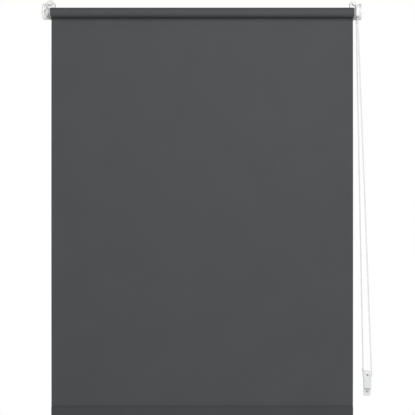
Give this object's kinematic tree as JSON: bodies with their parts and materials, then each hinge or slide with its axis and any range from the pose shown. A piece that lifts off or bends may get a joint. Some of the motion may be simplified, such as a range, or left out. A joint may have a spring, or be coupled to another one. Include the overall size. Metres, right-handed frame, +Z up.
{
  "type": "roller blind",
  "caption": "Clamp-on roller blind with charcoal cloth on a tube, hem pocket and bar, white end brackets, side ball chain and chain tensioner.",
  "frame": {"origin": "midway between the two clamps, on the sash's room-side face, level with the sash's top edge", "axes": "+X to the right as seen from the room, +Y towards the window, +Z up; the roller axis runs along X"},
  "size_m": [0.8314, 0.0692, 1.0568],
  "materials": {
    "white_plastic": "moulded white plastic, satin",
    "clear_plastic": "milky translucent plastic",
    "chain_plastic": "moulded white plastic balls",
    "grey_plastic": "moulded light grey plastic",
    "cloth": "fine plain weave, charcoal, light-tight",
    "steel": "zinc plated",
    "aluminium": "extruded, mill finish",
    "rubber": "soft grey rubber",
    "tape": "double-sided adhesive strip"
  },
  "bodies": {
    "root": {"clamp_body_left": "white_plastic", "clamp_body_right": "white_plastic", "front_pad_left": "rubber", "front_pad_right": "rubber", "bracket_left": "white_plastic", "bracket_right": "white_plastic", "bracket_screw_left": "steel", "bracket_screw_right": "steel", "side_cover_left": "white_plastic", "side_cover_right": "white_plastic", "chain_guard": "white_plastic", "drive_core": "grey_plastic", "core_screw": "steel", "wrap_spring_inner": "steel", "wrap_spring_outer": "steel", "chain_rear_strand": "chain_plastic", "chain_front_strand": "chain_plastic", "chain_over_wheel": "chain_plastic", "chain_bottom_loop": "chain_plastic", "tensioner_back": "clear_plastic", "tensioner_cover": "clear_plastic", "guide_axle": "steel", "tensioner_screw": "steel", "fabric_sheet": "cloth"},
    "roller": {"roller_tube": "steel", "fabric_roll": "cloth", "fabric_tape": "tape", "idle_plug": "grey_plastic", "idle_spring": "steel", "drive_plug": "grey_plastic", "chain_wheel": "white_plastic"},
    "retracting_pin": {"idle_pin": "white_plastic"},
    "hem": {"hem_pocket": "cloth", "bottom_bar": "aluminium", "bar_end_cap_left": "grey_plastic", "bar_end_cap_right": "grey_plastic"},
    "connector": {"chain_connector": "chain_plastic"},
    "guide": {"guide_wheel": "white_plastic"},
    "left_screw": {"clamp_screw_left": "white_plastic"},
    "right_screw": {"clamp_screw_right": "white_plastic"},
    "left_jaw": {"clamp_jaw_left": "white_plastic", "jaw_pad_left": "rubber"},
    "right_jaw": {"clamp_jaw_right": "white_plastic", "jaw_pad_right": "rubber"}
  },
  "joints": [
    {"name": "roll_spin", "type": "hinge", "parent": "root", "child": "roller", "pos_m": [0, -0.027, -0.023], "axis": [1, 0, 0], "range_deg": [0, 3960]},
    {"name": "hem_lift", "type": "slide", "parent": "root", "child": "hem", "axis": [0, 0, 1], "range_m": [0, 0.95], "deforming": ["fabric_sheet"]},
    {"name": "connector_travel", "type": "slide", "parent": "root", "child": "connector", "axis": [-0.021, -0.0099, 0.9997], "range_m": [0, 0.792]},
    {"name": "guide_spin", "type": "hinge", "parent": "root", "child": "guide", "pos_m": [0.4189, -0.0063, -0.9387], "axis": [0, 1, 0], "range_deg": [0, 4320]},
    {"name": "pin_retract", "type": "slide", "parent": "roller", "child": "retracting_pin", "axis": [1, 0, 0], "range_m": [0, 0.003], "stiffness_N_per_m": 900, "springref_m": -0.004, "deforming": ["idle_spring"]},
    {"name": "left_screw_turn", "type": "hinge", "parent": "root", "child": "left_screw", "pos_m": [-0.3853, 0, 0.0051], "axis": [0, 1, 0], "range_deg": [-720, 1080]},
    {"name": "left_jaw_slide", "type": "slide", "parent": "root", "child": "left_jaw", "axis": [0, 1, 0], "range_m": [-0.006, 0.004]},
    {"name": "right_screw_turn", "type": "hinge", "parent": "root", "child": "right_screw", "pos_m": [0.3853, 0, 0.0051], "axis": [0, 1, 0], "range_deg": [-720, 1080]},
    {"name": "right_jaw_slide", "type": "slide", "parent": "root", "child": "right_jaw", "axis": [0, 1, 0], "range_m": [-0.006, 0.004]}
  ],
  "couplings": [
    {"joint": "hem_lift", "follows": "roll_spin", "m_per_rad": 0.013745},
    {"joint": "connector_travel", "follows": "roll_spin", "m_per_rad": 0.011459},
    {"joint": "guide_spin", "follows": "roll_spin", "ratio": 1.0909},
    {"joint": "left_screw_turn", "follows": "left_jaw_slide", "rad_per_m": -3141.6},
    {"joint": "right_screw_turn", "follows": "right_jaw_slide", "rad_per_m": -3141.6}
  ]
}
